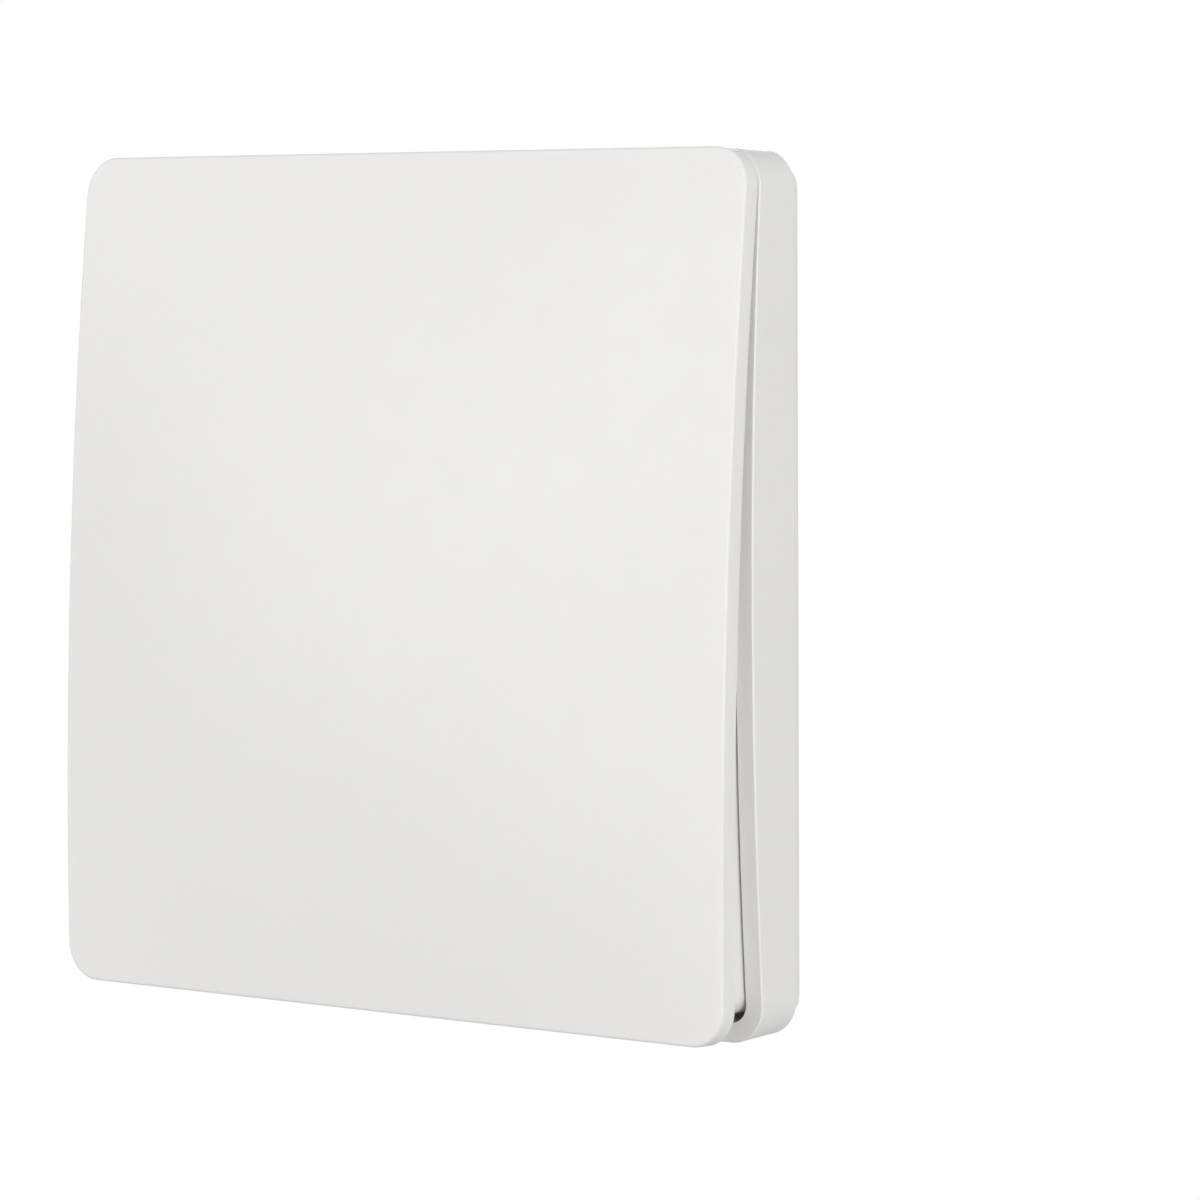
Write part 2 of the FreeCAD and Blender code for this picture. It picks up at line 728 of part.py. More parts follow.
def cell_holder():
    """A ring round the cell with tabs over its rim, a notch for the contact and one for a finger."""
    inner = cell_radius + holder_gap
    outer = inner + holder_wall
    span = (cover_rear, board_rear)
    ring = rod(0, cell_z, outer, span).cut(rod(0, cell_z, inner, (0, deep)))
    ring = ring.cut(slab((0, deep), (0, deep), around(cell_z, clip_notch)))
    ring = ring.cut(slab(around(0, finger_notch), (0, board_rear - tab_thickness), (-half, cell_z)))
    tabs = []
    for turn in (45, 135, 180):
        tab = slab((inner - tab_reach, outer - tab_gap), (cover_rear, cover_rear + tab_thickness),
                   around(0, tab_width))
        tab.rotate(V(0, 0, 0), V(0, -1, 0), turn)
        tab.translate(V(0, 0, cell_z))
        tabs.append(tab)
    return fused([ring] + tabs)


def cell_positive_clip():
    """A bent strip whose bulge bears on the can's side."""
    touch = cell_radius + contact_gap + strip_thickness / 2
    back = touch + holder_gap * 2
    foot = board_rear - strip_thickness / 2
    level = (cell_rear + cell_front) / 2
    run = cell_thickness / 4
    points = [(back + holder_wall, foot), (back, foot), (back, level + run), (touch, level)]
    points += [(back, level - run)]
    return strip(points, strip_thickness, around(cell_z, positive_width))


def cell_negative_spring():
    """A leaf on the board that bears on the cell's cap."""
    foot = board_rear - spring_thickness / 2
    touch = cell_front + spring_thickness
    points = [(-0.7 * cell_radius, foot), (-0.2 * cell_radius, foot)]
    points += [(0.25 * cell_radius, touch), (0.45 * cell_radius, (touch + foot) / 2)]
    return strip(points, spring_thickness, around(cell_z, negative_width))


def switch_base(x):
    """The moulded base of a tactile switch, with a round well for the dome and the plunger."""
    cube = slab(around(x, switch_size), (board_front, switch_front - cover_sheet),
                around(switch_z, switch_size))
    cube = cube.makeChamfer(flap_sheet, [edge for edge in cube.Edges if abs(edge.Length - upright()) < 1e-6])
    return cube.cut(rod(x, switch_z, switch_bore, (board_front + switch_floor, deep)))


def upright():
    """Height of a switch base."""
    return switch_height - cover_sheet


def switch_cover(x):
    """The sheet steel cover: a top with a hole and two flaps down the base."""
    reach = switch_size + 2 * flap_sheet
    top = slab(around(x, switch_size), (switch_front - cover_sheet, switch_front), around(switch_z, reach))
    flaps = []
    for way in sides:
        outer = switch_z + way * reach / 2
        z_range = sorted((outer, outer - way * flap_sheet))
        depths = (switch_front - cover_sheet - flap_length, switch_front)
        flaps.append(slab(around(x, flap_width), depths, z_range))
    return fused([top] + flaps).cut(rod(x, switch_z, plunger_radius + plunger_play, (0, deep)))


def flange_levels():
    """Depths of the plunger's back and of its flange's front."""
    front = switch_front - cover_sheet - flange_gap
    return front - flange_height, front


def switch_dome(x):
    """The soft dome under the plunger: a hollow cone with a closed top."""
    base = board_front + switch_floor
    top = flange_levels()[0] - flange_gap
    points = [(dome_radius - dome_wall, base), (dome_radius, base), (dome_top_radius, top), (0, top)]
    points += [(0, top - dome_wall), (dome_top_radius - dome_wall, top - dome_wall)]
    return turned(points, x, switch_z)


def switch_plunger(x):
    """The moving plunger, held under the cover by its flange."""
    back, front = flange_levels()
    points = [(0, back), (flange_radius, back), (flange_radius, front), (plunger_radius, front)]
    points += [(plunger_radius, plunger_front - plunger_bevel)]
    points += [(plunger_radius - plunger_bevel, plunger_front), (0, plunger_front)]
    return turned(points, x, switch_z)


def switch_terminals():
    """Four bent legs on each switch."""
    legs = []
    base = board_front + leg_sheet / 2
    level = board_front + leg_rise
    for side in sides:
        for way in sides:
            start = side * switch_spacing / 2 + way * switch_size / 2
            knee = start + way * leg_foot / 2
            points = [(start, level), (knee, level), (knee, base), (knee + way * leg_foot, base)]
            for end in sides:
                z = switch_z + end * leg_pitch / 2
                legs.append(strip(points, leg_sheet, around(z, leg_width)))
    return Part.makeCompound(legs)


def radio_board():
    """The radio module's own small board, notched at its solder pads along its two short sides."""
    depths = (board_front, board_front + radio_thickness)
    board = slab(around(0, radio_width), depths, around(radio_z, radio_height))
    pads = int(radio_height / pad_pitch) - 1
    notches = []
    for way in sides:
        for place in range(pads):
            z = radio_z + (place - (pads - 1) / 2) * pad_pitch
            notches.append(slab(around(way * radio_width / 2, pad_notch), (0, deep), around(z, pad_notch)))
    return board.cut(fused(notches))


def radio_shield():
    """The pressed steel can over the radio, open towards its board."""
    back = board_front + radio_thickness
    width = radio_width - 2 * shield_inset
    height = radio_height - 2 * shield_inset
    can = centred_prism(
        width / 2,
        around(radio_z, height),
        board_corner,
        (back, back + shield_height),
    )
    room = centred_prism(
        width / 2 - shield_sheet,
        around(radio_z, height - 2 * shield_sheet),
        board_corner - shield_sheet,
        (back - overrun, back + shield_height - shield_sheet),
    )
    return can.cut(room)


def chip(x, z, width, depth, height):
    """A small block on the board's front."""
    return slab(around(x, width), (board_front, board_front + height), around(z, depth))


def crystal():
    x = -radio_width / 2 - crystal_width
    block = centred_prism(crystal_width / 2, around(0, crystal_width / 2), shield_sheet * 2,
                          (board_front, board_front + crystal_height))
    block.translate(V(x, 0, radio_z))
    return block


def status_led():
    """A surface light: a square base with a round lens."""
    z = switch_z + led_rise
    base = chip(0, z, led_width, led_width, led_height / 2)
    front = board_front + led_height
    radius = led_width * 0.4
    points = [(0, board_front), (radius, board_front), (radius, front - led_height / 6)]
    points += [(radius - led_height / 6, front), (0, front)]
    return fused([base, turned(points, 0, z)])


def chip_row(count, z, height):
    """A row of equal chip parts."""
    pitch = chip_width * 2
    places = [(step - (count - 1) / 2) * pitch for step in range(count)]
    return [chip(x, z, chip_width, chip_depth, height) for x in places]


def capacitors():
    rows = chip_row(4, switch_z + led_rise / 2, capacitor_height)
    rows += chip_row(2, switch_z - led_rise / 2, capacitor_height)
    return Part.makeCompound(rows)


def resistors():
    rows = chip_row(4, switch_z + led_rise / 4, resistor_height)
    rows += chip_row(2, switch_z - led_rise / 4, resistor_height)
    return Part.makeCompound(rows)


nodes = {
    "rocker": rocker,
    "housing": housing,
    "wall_plate": wall_plate,
    "rear_cover": rear_cover,
    "rear_cover_screws": rear_cover_screws,
    "circuit_board": circuit_board,
    "board_screws": board_screws,
    "coin_cell": coin_cell,
    "cell_holder": cell_holder,
    "cell_positive_clip": cell_positive_clip,
    "cell_negative_spring": cell_negative_spring,
    "switch_terminals": switch_terminals,
    "radio_board": radio_board,
    "radio_shield": radio_shield,
    "crystal": crystal,
    "status_led": status_led,
    "capacitors": capacitors,
    "resistors": resistors,
}
os.makedirs("parts", exist_ok=True)
for name, make in nodes.items():
    make().exportStep(f"parts/{name}.step")
for name, side in (("left", -1), ("right", 1)):
    for piece, make in (("base", switch_base), ("cover", switch_cover),
                        ("dome", switch_dome), ("plunger", switch_plunger)):
        make(side * switch_spacing / 2).exportStep(f"parts/{name}_switch_{piece}.step")
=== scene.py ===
"""Dresses a square wireless wall switch and builds its studio.

Places and sizes are in metres, in the frame's own axes: +Z up, +X to the right of someone who
faces the switch, and the wall is the plane Y = 0, so what stands in front of it has a negative Y.
"""

import math

import bmesh
import bpy
from mathutils import Matrix, Vector
import numpy as np


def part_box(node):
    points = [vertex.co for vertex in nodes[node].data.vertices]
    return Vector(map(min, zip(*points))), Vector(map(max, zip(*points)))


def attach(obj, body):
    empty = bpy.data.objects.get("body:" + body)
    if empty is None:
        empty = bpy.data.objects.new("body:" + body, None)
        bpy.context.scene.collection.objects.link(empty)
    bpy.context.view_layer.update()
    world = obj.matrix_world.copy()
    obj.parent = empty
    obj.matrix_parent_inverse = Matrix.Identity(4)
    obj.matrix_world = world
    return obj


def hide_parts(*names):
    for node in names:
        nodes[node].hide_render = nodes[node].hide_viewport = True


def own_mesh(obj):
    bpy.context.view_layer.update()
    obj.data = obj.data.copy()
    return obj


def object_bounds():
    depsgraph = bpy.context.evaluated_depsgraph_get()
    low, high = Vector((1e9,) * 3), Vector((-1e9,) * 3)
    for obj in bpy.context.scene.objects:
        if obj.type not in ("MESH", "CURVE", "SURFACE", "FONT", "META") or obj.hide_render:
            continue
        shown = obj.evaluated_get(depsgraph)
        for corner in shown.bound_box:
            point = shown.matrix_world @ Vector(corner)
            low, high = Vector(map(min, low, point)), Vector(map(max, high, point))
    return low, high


bl_info = {
    "name": "Wireless wall switch",
    "version": (1, 0, 0),
    "blender": (4, 5, 0),
    "location": "3D View > Sidebar > Wall switch",
    "description": "Finishes the pieces of a wireless wall switch and sets up its studio",
    "category": "Object",
}

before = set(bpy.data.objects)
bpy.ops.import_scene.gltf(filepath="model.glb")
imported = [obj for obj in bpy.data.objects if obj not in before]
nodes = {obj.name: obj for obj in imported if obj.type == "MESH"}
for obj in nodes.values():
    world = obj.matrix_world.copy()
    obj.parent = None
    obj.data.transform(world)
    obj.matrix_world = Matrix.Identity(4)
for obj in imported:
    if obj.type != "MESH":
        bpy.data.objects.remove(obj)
bpy.context.view_layer.update()
cad_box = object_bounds()


def linear(red, green, blue):
    """A colour for a shader, from the 0 to 255 values that it shows on a screen."""
    shares = [value / 255 for value in (red, green, blue)]
    return tuple(s / 12.92 if s <= 0.04045 else ((s + 0.055) / 1.055) ** 2.4 for s in shares)


def colour_property(name, description, shown):
    """A colour that the user can change, given as the screen shows it."""
    return bpy.props.FloatVectorProperty(
        name=name, description=description, default=linear(*shown), subtype="COLOR", min=0, max=1)


def length_property(name, description, default):
    """A length in metres."""
    return bpy.props.FloatProperty(
        name=name, description=description, default=default, unit="LENGTH", precision=5)


def angle_property(name, description, degrees):
    """An angle, given in degrees."""
    return bpy.props.FloatProperty(
        name=name, description=description, default=math.radians(degrees), unit="ROTATION")


def number_property(name, description, default):
    """A plain number, such as a brightness where 1 is full white."""
    return bpy.props.FloatProperty(name=name, description=description, default=default)


class SwitchFinishes(bpy.types.PropertyGroup):
    """Colours and surface textures of the pieces."""

    face_colour: colour_property("Rocker", "Plastic of the rocker", (238, 237, 235))
    housing_colour: colour_property("Housing", "Plastic of the square shell", (237, 236, 234))
    plate_colour: colour_property("Wall plate", "Plastic of the wall plate", (236, 235, 233))
    inner_colour: colour_property("Rear cover", "Plastic of the rear cover", (224, 222, 216))
    dark_colour: colour_property(
        "Dark plastic", "Plastic of the cell's holder and the switch bases", (28, 28, 30))
    plunger_colour: colour_property("Plungers", "Plastic of the plungers", (204, 201, 194))
    silicone_colour: colour_property("Domes", "Silicone of the return domes", (176, 178, 180))
    mask_colour: colour_property("Solder mask", "Lacquer on the main board", (22, 54, 36))
    radio_mask_colour: colour_property("Radio mask", "Lacquer on the radio's board", (18, 42, 96))
    steel_colour: colour_property("Switch covers", "Steel over the switches", (196, 196, 194))
    cell_colour: colour_property("Coin cell", "Steel of the coin cell", (206, 205, 202))
    contact_colour: colour_property("Contacts", "Nickel on the cell's contacts", (200, 196, 186))
    terminal_colour: colour_property("Terminals", "Tin on the solder legs", (202, 204, 206))
    shield_colour: colour_property(
        "Radio shield", "Steel of the radio's shield and of the crystal", (190, 190, 188))
    screw_colour: colour_property("Screws", "Zinc on the small screws", (186, 184, 178))
    capacitor_colour: colour_property("Capacitors", "Ceramic of the capacitors", (150, 118, 84))
    resistor_colour: colour_property("Resistors", "Ceramic of the resistors", (34, 34, 36))
    resin_colour: colour_property("Status light", "Resin of the light", (240, 232, 190))
    grain_size: length_property("Grain", "Width of the grains of the spark texture", 0.00016)
    grain_depth: length_property("Grain depth", "Height of those grains", 0.000004)
    glow_depth: length_property("Glow depth", "How far light spreads inside the plastic", 0.0012)


class SwitchSizes(bpy.types.PropertyGroup):
    """Sizes of the pieces that are drawn here; their places come from the frame."""

    dome_top_radius: length_property("Dome top", "Radius of a dome's flat top", 0.0013)
    dome_wall: length_property("Dome wall", "Thickness of a dome's silicone", 0.00035)
    dome_rounding: length_property("Dome rounding", "How far a dome's edges are rounded", 0.00016)
    cover_head: length_property(
        "Cover screw head", "Radius of the heads of the rear cover's screws", 0.00185)
    cover_head_height: length_property("Cover head height", "Height of those heads", 0.0011)
    cover_shank: length_property("Cover screw", "Radius over the thread of those screws", 0.001)
    board_head: length_property(
        "Board screw head", "Radius of the heads of the board's screws", 0.0016)
    board_head_height: length_property("Board head height", "Height of those heads", 0.0011)
    board_shank: length_property("Board screw", "Radius over the thread of those screws", 0.00085)
    thread_pitch: length_property("Thread pitch", "Step of the screws' threads", 0.0007)
    thread_height: length_property("Thread height", "From core to crest of the threads", 0.0002)
    head_rounding: length_property("Head rounding", "How far the heads are rounded", 0.00015)


class SwitchStudio(bpy.types.PropertyGroup):
    """The camera, measured from the photograph, and the light."""

    camera_place: bpy.props.FloatVectorProperty(
        name="Camera", description="Place of the camera", default=(0.33924, -0.40910, 0.03374),
        subtype="XYZ", unit="LENGTH", precision=5)
    camera_yaw: angle_property(
        "Yaw", "Turn of the camera to the left of the straight front view", 38.2325)
    camera_pitch: angle_property("Pitch", "How far the camera looks down", 3.8753)
    camera_roll: angle_property("Roll", "Turn of the camera about its own view", -0.3018)
    focal_pixels: number_property(
        "Focal length", "Focal length in pixels of the photograph", 5243.2)
    picture_pixels: number_property(
        "Picture", "Side of the square photograph in pixels", 1200)
    floor_drop: length_property(
        "Table drop", "From the switch's lower edge down to the table", 0.10)
    floor_radius: length_property("Table radius", "Radius of the round table", 0.32)
    floor_colour: colour_property(
        "Table tone", "Tone of the table for the light that it throws back", (190, 190, 189))
    key_azimuth: angle_property(
        "Key side", "Turn of the main light to the right of the front", -35)
    key_level: number_property(
        "Key level", "How bright the main light makes white that faces it", 0.235)
    side_azimuth: angle_property(
        "Side light", "Turn of the second light to the right of the front", 64)
    side_level: number_property(
        "Side level", "How bright the second light makes white that faces it", 0.455)
    rear_azimuth: angle_property(
        "Rear light", "Turn of the light behind the switch to the right of the front", -150)
    rear_level: number_property(
        "Rear level", "How bright the light behind makes white that faces it", 0.6)
    light_elevation: angle_property(
        "Light height", "Angle of the lights above the switch's middle", 8)
    light_distance: length_property("Light distance", "From the switch to each light", 1.6)
    light_size: length_property("Light size", "Side of each light's square panel", 0.4)
    front_level: number_property(
        "Front level", "Brightness of the surroundings in front of the switch", 0.68)
    back_level: number_property(
        "Back level", "Brightness of the surroundings behind the switch", 0.30)
    overhead_share: number_property(
        "Overhead share", "Brightness above and below, as a share of that at the same side", 0.80)


def set_inputs(tree, node, **inputs):
    """Gives a node its inputs: plain values, or other nodes' outputs to be linked."""
    for name, value in inputs.items():
        socket = node.inputs[name.replace("_", " ")]
        if isinstance(value, bpy.types.NodeSocket):
            tree.links.new(value, socket)
        else:
            socket.default_value = value


def shader_node(tree, kind, settings=None, **inputs):
    """A new node in a tree, with its own settings and its inputs."""
    node = tree.nodes.new(kind)
    for name, value in (settings or {}).items():
        setattr(node, name, value)
    set_inputs(tree, node, **inputs)
    return node


def new_material(name):
    """An empty material, its tree, its surface shader and the object's coordinates."""
    material = bpy.data.materials.new(name)
    material.use_nodes = True
    tree = material.node_tree
    surface = tree.nodes["Principled BSDF"]
    place = shader_node(tree, "ShaderNodeTexCoord").outputs["Object"]
    return material, tree, surface, place


def noise(tree, place, size, detail=2.0):
    """Soft noise whose patches are about as wide as size."""
    node = shader_node(tree, "ShaderNodeTexNoise", Vector=place, Scale=1 / size, Detail=detail)
    return node.outputs["Fac"]


def spread(tree, value, low, high):
    """The middle half of a noise's range, spread between two values."""
    node = shader_node(tree, "ShaderNodeMapRange", Value=value, From_Min=0.25, From_Max=0.75,
                       To_Min=low, To_Max=high)
    return node.outputs["Result"]


def arithmetic(tree, operation, *values):
    """The result of one step of arithmetic on other nodes' outputs."""
    node = shader_node(tree, "ShaderNodeMath", {"operation": operation})
    for value, socket in zip(values, node.inputs):
        tree.links.new(value, socket)
    return node.outputs["Value"]


def blend_colours(tree, share, first, second):
    """A mix of two colours."""
    node = shader_node(tree, "ShaderNodeMix", {"data_type": "RGBA"}, Factor=share)
    ends = [socket for socket in node.inputs if socket.type == "RGBA"]
    for socket, colour in zip(ends, (first, second)):
        socket.default_value = (*colour, 1)
    return next(socket for socket in node.outputs if socket.type == "RGBA")


def relief(tree, texture, depth, strength):
    """The normals of a surface from which a texture stands out by a depth."""
    node = shader_node(tree, "ShaderNodeBump", Strength=strength, Distance=depth, Height=texture)
    return node.outputs["Normal"]


def shaded(colour, share):
    """A colour made lighter or darker by a share."""
    return tuple(min(1, part * share) for part in colour)


def vary(tree, surface, texture, colour, darkest, roughness):
    """Lets a texture vary the colour, down to the share darkest, and the roughness in a range."""
    set_inputs(
        tree, surface,
        Base_Color=blend_colours(
            tree, spread(tree, texture, 0, 1), shaded(colour, darkest), colour),
        Roughness=spread(tree, texture, *roughness))


def moulded_plastic(name, colour, finishes, roughness=0.5, grain=1.0):
    """Moulded plastic: a fine spark texture, faint flow clouds in its colour and in its gloss."""
    material, tree, surface, place = new_material(name)
    cloud_size, patch_size, patch_range = 0.018, 0.004, 0.03
    clouds = spread(tree, noise(tree, place, cloud_size), 0, 1)
    patches = noise(tree, place, patch_size)
    grains = noise(tree, place, finishes.grain_size, detail=3.0)
    set_inputs(
        tree, surface,
        Base_Color=blend_colours(tree, clouds, shaded(colour, 0.993), shaded(colour, 1.003)),
        Roughness=spread(tree, patches, roughness - patch_range, roughness + patch_range),
        Normal=relief(tree, grains, finishes.grain_depth * grain, strength=1.0),
        IOR=1.5, Subsurface_Weight=0.2, Subsurface_Radius=(1.0, 0.8, 0.65),
        Subsurface_Scale=finishes.glow_depth)
    return material


def sheet_metal(name, colour, roughness, brush=(1, 1, 1)):
    """Drawn or rolled metal with faint marks, which brush sets closer along one of the axes."""
    material, tree, surface, place = new_material(name)
    mark_size, mark_depth = 0.0004, 0.000003
    pressed = shader_node(tree, "ShaderNodeMapping", Vector=place, Scale=brush).outputs["Vector"]
    marks = noise(tree, pressed, mark_size, detail=4.0)
    vary(tree, surface, marks, colour, 0.94, (roughness - 0.05, roughness + 0.07))
    set_inputs(tree, surface, Normal=relief(tree, marks, mark_depth, strength=0.6), Metallic=1.0)
    return material


def lacquered_laminate(name, colour):
    """A circuit board's laminate: the weave of the glass cloth shows faintly under the lacquer."""
    material, tree, surface, place = new_material(name)
    thread_scale, weave_depth = 700.0, 0.00001
    threads = [shader_node(tree, "ShaderNodeTexWave",
                           {"wave_type": "BANDS", "bands_direction": axis},
                           Vector=place, Scale=thread_scale, Distortion=0.4).outputs["Fac"]
               for axis in ("X", "Z")]
    weave = arithmetic(tree, "MULTIPLY", *threads)
    set_inputs(
        tree, surface,
        Base_Color=blend_colours(tree, weave, shaded(colour, 0.85), shaded(colour, 1.15)),
        Roughness=0.28, Normal=relief(tree, weave, weave_depth, strength=0.3))
    return material


def soft_silicone(name, colour):
    """Dull, faintly mottled silicone rubber."""
    material, tree, surface, place = new_material(name)
    patch_size, patch_depth = 0.0006, 0.00001
    patches = noise(tree, place, patch_size)
    vary(tree, surface, patches, colour, 0.93, (0.55, 0.68))
    set_inputs(tree, surface, Normal=relief(tree, patches, patch_depth, strength=0.4))
    return material


def fired_ceramic(name, colour, roughness):
    """The dull body of a chip part, with fine pits."""
    material, tree, surface, place = new_material(name)
    pit_size, pit_depth = 0.00012, 0.000006
    pits = noise(tree, place, pit_size, detail=3.0)
    vary(tree, surface, pits, colour, 0.85, (roughness - 0.06, roughness + 0.06))
    set_inputs(tree, surface, Normal=relief(tree, pits, pit_depth, strength=0.5))
    return material


def clear_resin(name, colour):
    """The milky resin of the status light."""
    material, tree, surface, place = new_material(name)
    haze_size, light_spread = 0.0005, 0.0008
    vary(tree, surface, noise(tree, place, haze_size), colour, 0.95, (0.12, 0.2))
    set_inputs(tree, surface, Subsurface_Weight=0.4, Subsurface_Radius=(1.0, 1.0, 0.8),
               Subsurface_Scale=light_spread)
    return material


def finish_nodes(material, *names):
    """Gives the material to the slots of the named nodes."""
    for name in names:
        for slot in nodes[name].material_slots:
            slot.material = material


def rounded_profile(corners, reach, points=6):
    """A line through corners, each of them but the ends replaced by a curve.

    The curve leaves the line at a distance reach before the corner and meets it as far behind: for
    t from 0 to 1 it is (1 - t)^2 times its start, 2 t (1 - t) times the corner and t^2 times its
    end.
    """
    corners = np.array(corners)
    middle = corners[1:-1, None]
    before, after = corners[:-2, None] - middle, corners[2:, None] - middle
    start = middle + reach * before / np.linalg.norm(before, axis=2, keepdims=True)
    end = middle + reach * after / np.linalg.norm(after, axis=2, keepdims=True)
    t = np.linspace(0, 1, points)[None, :, None]
    curves = (1 - t) ** 2 * start + 2 * t * (1 - t) * middle + t ** 2 * end
    return np.concatenate((corners[:1], curves.reshape(-1, 2), corners[-1:]))


def ring_quads(index):
    """The quads between neighbouring rows of points, each of which runs round in a ring."""
    beside = np.roll(index, -1, axis=1)
    return np.stack((index[:-1], beside[:-1], beside[1:], index[1:]), axis=-1).reshape(-1, 4)


def turned_surface(name, profile, x, z, sectors=48):
    """A closed shell turned about a line that stands square on the wall at x and z.

    The profile runs from that line round to that line and gives a radius r and a depth d from the
    wall for each point. At the angle a the point lies at (x + r cos a, -d, z + r sin a).
    """
    radius, depth = np.array(profile).T[:, :, None]
    angle = np.linspace(0, math.tau, sectors, endpoint=False)[None, :]
    across, up = x + radius * np.cos(angle), z + radius * np.sin(angle)
    places = np.stack((across, -depth + 0 * angle, up), axis=-1)
    index = np.arange(across.size).reshape(across.shape)
    return closed_piece(name, places.reshape(-1, 3), ring_quads(index))


def closed_piece(name, places, faces, seam_width=1e-7):
    """An object made of closed shells: seams and poles are merged, and the faces point outwards."""
    mesh = bpy.data.meshes.new(name)
    mesh.from_pydata(places, [], faces)
    shell = bmesh.new()
    shell.from_mesh(mesh)
    bmesh.ops.remove_doubles(shell, verts=shell.verts, dist=seam_width)
    bmesh.ops.recalc_face_normals(shell, faces=shell.faces)
    shell.to_mesh(mesh)
    shell.free()
    mesh.shade_smooth()
    piece = bpy.data.objects.new(name, mesh)
    bpy.context.scene.collection.objects.link(piece)
    return piece


def stand_for(piece, node, body, material):
    """Shows a piece in place of a node, on that node's body and in its material slot."""
    piece.data.materials.append(material)
    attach(piece, body)
    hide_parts(node)


def build_return_dome(side, sizes, material):
    """The soft dome of one tactile switch, drawn in one shape, though the real dome flattens on its
    foot as its plunger comes in.

    Its section is a cone's wall between a flat foot and a flat closed top, with every edge rounded.
    """
    low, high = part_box(f"{side}_switch_dome")
    x, z = (low.x + high.x) / 2, (low.z + high.z) / 2
    foot, top = -high.y, -low.y
    radius, top_radius, wall = (high.x - low.x) / 2, sizes.dome_top_radius, sizes.dome_wall
    corners = [(0, top - wall), (top_radius - wall, top - wall), (radius - wall, foot),
               (radius, foot), (top_radius, top), (0, top)]
    profile = rounded_profile(corners, sizes.dome_rounding)
    piece = turned_surface(f"{side}_return_dome", profile, x, z)
    stand_for(piece, f"{side}_switch_dome", "root", material)
    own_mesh(piece)


def head_grid():
    """A square grid's u and v, from -1 to 1, and how deep the cross recess is at each point.

    The recess is 1 inside the cross, whose arms run along u and v, and 0 outside. Its walls slope
    from the arms' width and reach at its floor to those at its mouth.
    """
    floor_width, mouth_width = 0.17, 0.2
    floor_reach, mouth_reach = 0.66, 0.7
    half = np.array((0, floor_width, mouth_width, 0.35, 0.5, floor_reach, mouth_reach, 0.85, 1))
    step = np.concatenate((-half[:0:-1], half))
    u, v = np.meshgrid(step, step, indexing="ij")
    long, wide = np.maximum(abs(u), abs(v)), np.minimum(abs(u), abs(v))
    return u, v, ((wide <= floor_width) & (long <= floor_reach)).astype(float)


def border(grid):
    """The values along a square grid's four sides, in order round it."""
    return np.concatenate((grid[:-1, 0], grid[-1, :-1], grid[:0:-1, -1], grid[0, :0:-1]))


def one_screw(start, tip, head, head_height, shank, sizes, rows_per_turn=8):
    """The points and quads of a cross-headed screw that runs from a depth start to a depth tip.

    The head's face is a square drawn onto a disc, u times the root of 1 - v^2 / 2 one way and v
    times the root of 1 - u^2 / 2 the other, and sunk in the recess by half the head's height. The
    rest is turned: at the depth d and the angle a the radius is the core's, plus the thread's
    height times a triangle wave of d / pitch - a / (one turn), which fades out over the last turn
    at the tip.
    """
    u, v, recess = head_grid()
    disc = np.stack((u * np.sqrt(1 - v ** 2 / 2), v * np.sqrt(1 - u ** 2 / 2)), axis=-1)
    flat = head - sizes.head_rounding
    sunk = -start - recess * head_height / 2
    face = np.stack((flat * disc[..., 0], sunk, flat * disc[..., 1]), axis=-1)
    angle = np.arctan2(border(disc[..., 1]), border(disc[..., 0]))[None, :]

    seat = start + head_height
    edge = rounded_profile([(flat, start), (head, start), (head, seat)], sizes.head_rounding)
    core = shank - sizes.thread_height
    depths = np.arange(seat, tip, sizes.thread_pitch / rows_per_turn)
    rows = np.concatenate((edge, np.stack((np.full_like(depths, core), depths), axis=1),
                           [(core - sizes.head_rounding, tip), (0, tip)]))
    fade = np.zeros(len(rows))
    fade[len(edge) + 1:-2] = np.clip((tip - depths[1:]) / sizes.thread_pitch, 0, 1)
    turn = (rows[:, 1:] / sizes.thread_pitch - angle / math.tau) % 1
    radius = rows[:, :1] + fade[:, None] * sizes.thread_height * (1 - abs(2 * turn - 1))
    body = np.stack((radius * np.cos(angle), -rows[:, 1:] + 0 * angle, radius * np.sin(angle)),
                    axis=-1)

    index = np.arange(u.size).reshape(u.shape)
    squares = np.stack((index[:-1, :-1], index[1:, :-1], index[1:, 1:], index[:-1, 1:]), axis=-1)
    index = u.size + np.arange(radius.size).reshape(radius.shape)
    quads = np.concatenate((squares.reshape(-1, 4), ring_quads(index)))
    return np.concatenate((face.reshape(-1, 3), body.reshape(-1, 3))), quads


def build_screws(name, node, material, sizes, head, head_height, shank):
    """Cross-headed screws in place of a node's, one at each corner or end of its box."""
    low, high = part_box(node)
    points, quads = one_screw(-high.y, -low.y, head, head_height, shank, sizes)
    across = (low.x + head, high.x - head)
    two_rows = high.z - low.z > 3 * head
    up = (low.z + head, high.z - head) if two_rows else ((low.z + high.z) / 2,)
    centres = np.array([(x, 0, z) for x in across for z in up])
    places = centres[:, None] + points
    quads = np.arange(len(centres))[:, None, None] * len(points) + quads
    piece = closed_piece(name, places.reshape(-1, 3), quads.reshape(-1, 4))
    sharp_edge = math.radians(35)
    piece.data.set_sharp_from_angle(angle=sharp_edge)
    stand_for(piece, node, "root", material)


class WALLSWITCH_OT_mouldings(bpy.types.Operator):
    """Finish the moulded shells: the rocker, the housing, the wall plate and the rear cover"""

    bl_idname = "wallswitch.mouldings"
    bl_label = "Finish the shells"

    def execute(self, context):
        finishes = context.scene.switch_finishes
        for node, name, colour, roughness in (
                ("rocker", "face_plastic", finishes.face_colour, 0.5),
                ("housing", "housing_plastic", finishes.housing_colour, 0.5),
                ("wall_plate", "plate_plastic", finishes.plate_colour, 0.52),
                ("rear_cover", "cover_plastic", finishes.inner_colour, 0.5)):
            finish_nodes(moulded_plastic(name, colour, finishes, roughness), node)
        return {"FINISHED"}


